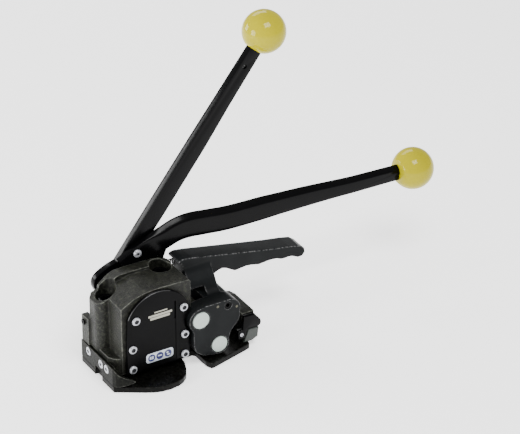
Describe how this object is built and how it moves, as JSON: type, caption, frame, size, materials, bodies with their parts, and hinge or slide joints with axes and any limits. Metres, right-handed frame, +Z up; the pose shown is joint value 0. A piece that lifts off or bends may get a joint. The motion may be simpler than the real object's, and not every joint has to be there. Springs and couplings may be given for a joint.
{
  "type": "steel strapping tool",
  "caption": "Hand-operated sealless steel-strapping tool: tension lever with ratchet feed wheel, squeeze grip that lifts it, and a second lever that punches the joint and cuts.",
  "frame": {"origin": "underside plane of the base plate, below the sealing end; +X runs along the strap to the tension side", "axes": "+X along the strap towards the tensioning side, +Y to the back of the tool, +Z up"},
  "size_m": [0.4174, 0.118, 0.3379],
  "materials": {
    "dark_casting": "rough cast and blackened",
    "black_cover": "satin black",
    "dark_rocker": "satin blue-black",
    "black_steel": "gloss black",
    "yellow_knob": "polished",
    "bright_zinc": "bright zinc plate",
    "ground_pin": "ground, pale",
    "tool_steel": "ground",
    "bronze_bush": "machined",
    "bare_guide": "ground, dull",
    "spring_wire": "drawn wire",
    "label_white": "printed film, blank marks",
    "label_pale": "blank plate"
  },
  "bodies": {
    "base": {"base_plate": "dark_casting", "end_guide_plate": "dark_casting", "end_plate_screw_1": "bright_zinc", "end_plate_screw_2": "bright_zinc", "end_plate_screw_3": "bright_zinc", "sealer_housing": "dark_casting", "front_cover": "black_cover", "cover_screw_1": "bright_zinc", "cover_screw_2": "bright_zinc", "cover_screw_3": "bright_zinc", "cover_screw_4": "bright_zinc", "cover_screw_5": "bright_zinc", "cover_screw_6": "bright_zinc", "housing_bolt_left": "black_steel", "housing_bolt_right": "black_steel", "die_plate": "tool_steel", "gripper_insert": "tool_steel", "strap_back_stop": "tool_steel", "shaft_bush_front": "bronze_bush", "shaft_bush_rear": "bronze_bush", "rocker_pivot_pin": "ground_pin", "tension_frame": "dark_casting", "strap_guide_right": "bare_guide", "strap_guide_screw": "bright_zinc", "guide_cap": "black_steel", "lug_screw": "black_steel", "instruction_sticker": "label_white", "name_plate": "label_pale", "rocker_return_spring": "spring_wire"},
    "sealing": {"sealing_shaft": "tool_steel", "sealing_lever": "black_steel", "sealing_knob": "yellow_knob", "shaft_washer": "bright_zinc", "shaft_nut": "bright_zinc"},
    "punch_slide": {"punch_carrier": "tool_steel", "punch_1": "tool_steel", "punch_2": "tool_steel", "strap_cutter": "tool_steel"},
    "tension": {"tension_lever": "black_steel", "tension_knob": "yellow_knob", "lever_stop_screw": "bright_zinc", "pawl_pin": "tool_steel"},
    "drive_pawl": {"drive_pawl": "tool_steel"},
    "rocker": {"rocker_body": "dark_rocker", "rocker_set_screw": "black_steel", "wheel_bush_front": "bronze_bush", "wheel_bush_rear": "bronze_bush", "holding_pawl_pin": "tool_steel"},
    "feed": {"feed_wheel_shaft": "ground_pin", "feed_wheel": "tool_steel", "ratchet_wheel": "tool_steel", "wheel_circlip": "black_steel"},
    "holding_pawl": {"holding_pawl": "tool_steel"}
  },
  "joints": [
    {"name": "sealing_lever_swing", "type": "hinge", "parent": "base", "child": "sealing", "pos_m": [0.0065, 0, 0.0615], "axis": [0, -1, 0], "range_deg": [0, 105]},
    {"name": "punch_travel", "type": "slide", "parent": "base", "child": "punch_slide", "axis": [0, 0, -1], "range_m": [0, 0.00795]},
    {"name": "tension_lever_swing", "type": "hinge", "parent": "base", "child": "tension", "pos_m": [0.0065, 0, 0.0615], "axis": [0, -1, 0], "range_deg": [0, 30]},
    {"name": "drive_pawl_pivot", "type": "hinge", "parent": "tension", "child": "drive_pawl", "pos_m": [0.07, 0.029, 0.042], "axis": [0, -1, 0], "range_deg": [-16, 0]},
    {"name": "rocker_lift", "type": "hinge", "parent": "base", "child": "rocker", "pos_m": [0.052, 0, 0.0532], "axis": [0, -1, 0], "range_deg": [0, 4], "stiffness_Nm_per_rad": 20, "springref_deg": -5.73, "deforming": ["rocker_return_spring"]},
    {"name": "feed_wheel_spin", "type": "hinge", "parent": "rocker", "child": "feed", "pos_m": [0.073, 0, 0.0185], "axis": [0, -1, 0], "continuous": true},
    {"name": "holding_pawl_pivot", "type": "hinge", "parent": "rocker", "child": "holding_pawl", "pos_m": [0.0545, 0.029, 0.034], "axis": [0, -1, 0], "range_deg": [-14, 0], "stiffness_Nm_per_rad": 0.05}
  ],
  "couplings": [
    {"joint": "punch_travel", "follows": "sealing_lever_swing", "m_per_rad": 0.004327},
    {"joint": "drive_pawl_pivot", "follows": "tension_lever_swing", "ratio": -0.5}
  ]
}
